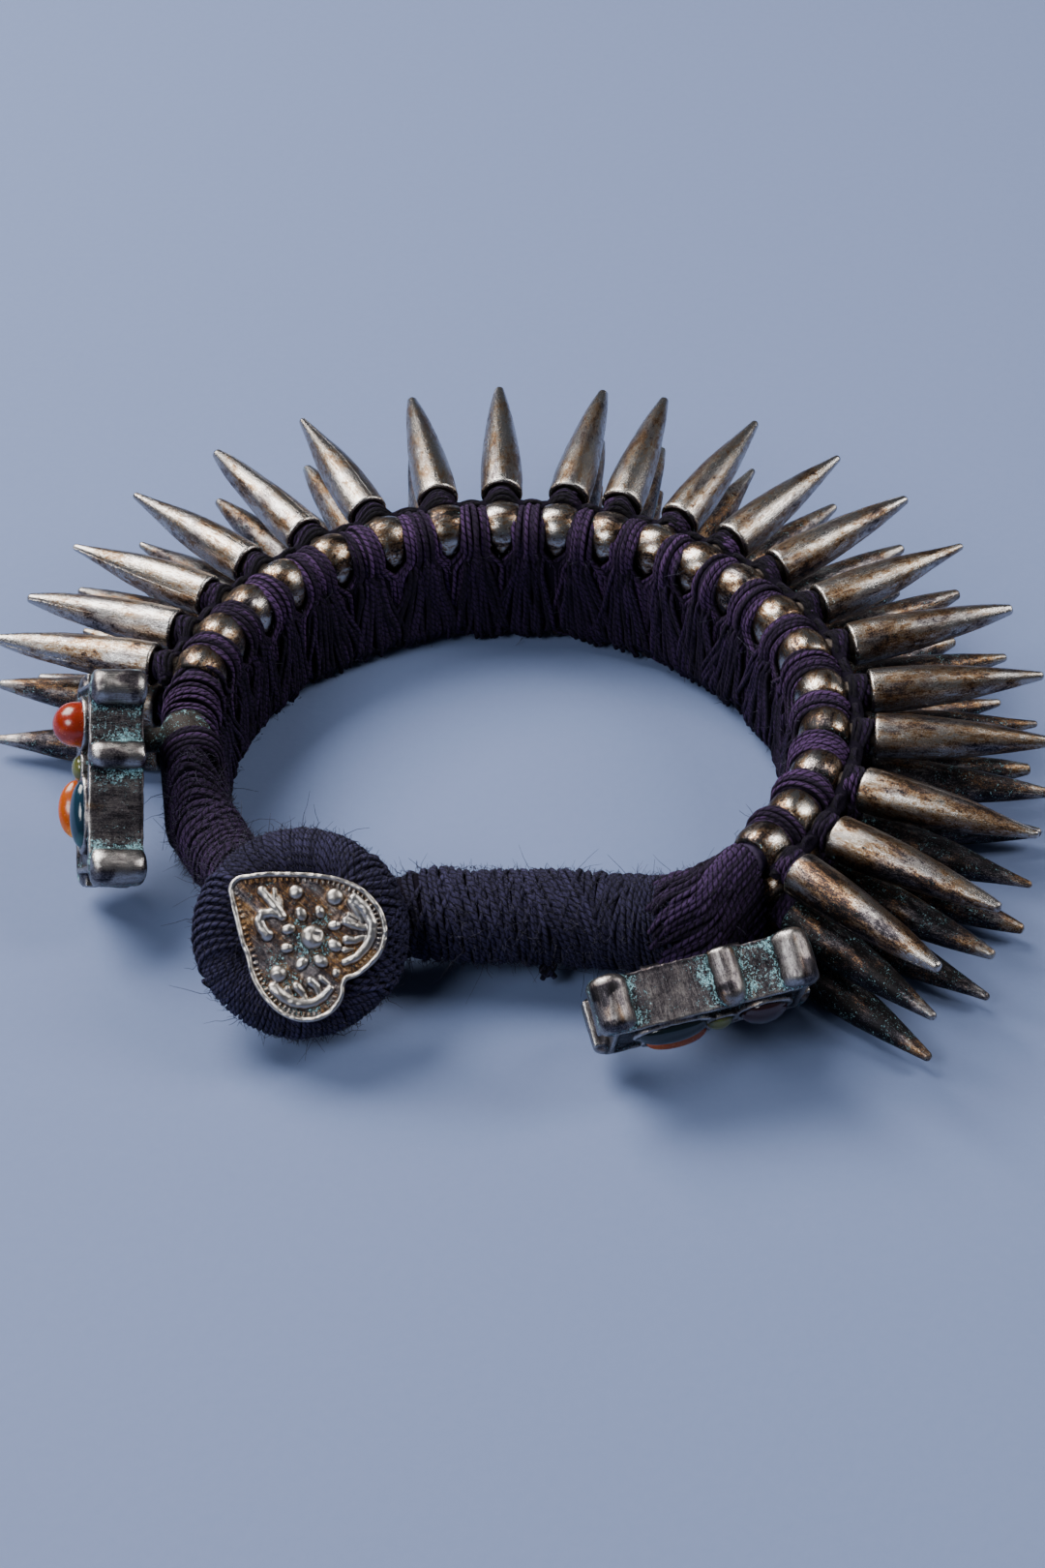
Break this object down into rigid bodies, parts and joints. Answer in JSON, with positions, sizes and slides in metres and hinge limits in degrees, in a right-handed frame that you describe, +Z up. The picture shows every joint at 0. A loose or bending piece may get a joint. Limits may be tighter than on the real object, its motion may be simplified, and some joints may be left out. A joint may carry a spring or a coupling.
{
  "type": "spiked bangle",
  "caption": "Open wrist bangle of tapering silver spikes in stacked rows, bound with dark thread and closed by a heart button in a wound loop.",
  "frame": {"origin": "centre of the bangle's box at the level it lies on, under the wrist opening", "axes": "+Z up along the wrist opening's axis; the bangle lies on its side; -Y towards the wound closing bar and the heart button; +X towards the end of the bar without the button"},
  "size_m": [0.1114, 0.0997, 0.0241],
  "materials": {
    "spike_silver": "worn tarnished silver sheet, satin, warm brown in the lows",
    "button_silver": "cast silver, worn bright on the high spots, dark brown in the recesses",
    "terminal_silver": "dark oxidised silver with bright worn rims and blue-green verdigris",
    "core_cotton": "twisted cotton cord, matte",
    "aubergine_thread": "wound two-ply cotton thread, matte and slightly fuzzy",
    "indigo_thread": "wound two-ply cotton thread, matte and slightly fuzzy",
    "teal_glass": "polished paste glass, dull with wear",
    "amber_glass": "polished paste glass",
    "green_glass": "polished paste glass",
    "orange_stone": "polished cabochon",
    "garnet_stone": "polished cabochon"
  },
  "bodies": {
    "root": {"spike_row_top": "spike_silver", "spike_row_middle": "spike_silver", "spike_row_bottom": "spike_silver", "core_cord_top": "core_cotton", "core_cord_middle": "core_cotton", "core_cord_bottom": "core_cotton", "binding": "aubergine_thread", "wound_bar": "indigo_thread", "wound_loop": "indigo_thread", "heart_button": "button_silver", "left_terminal": "terminal_silver", "right_terminal": "terminal_silver", "left_teal_glass": "teal_glass", "left_amber_glass": "amber_glass", "left_green_glass": "green_glass", "left_orange_cabochon": "orange_stone", "right_teal_glass": "teal_glass", "right_amber_glass": "amber_glass", "right_green_glass": "green_glass", "right_garnet_cabochon": "garnet_stone"}
  },
  "joints": []
}
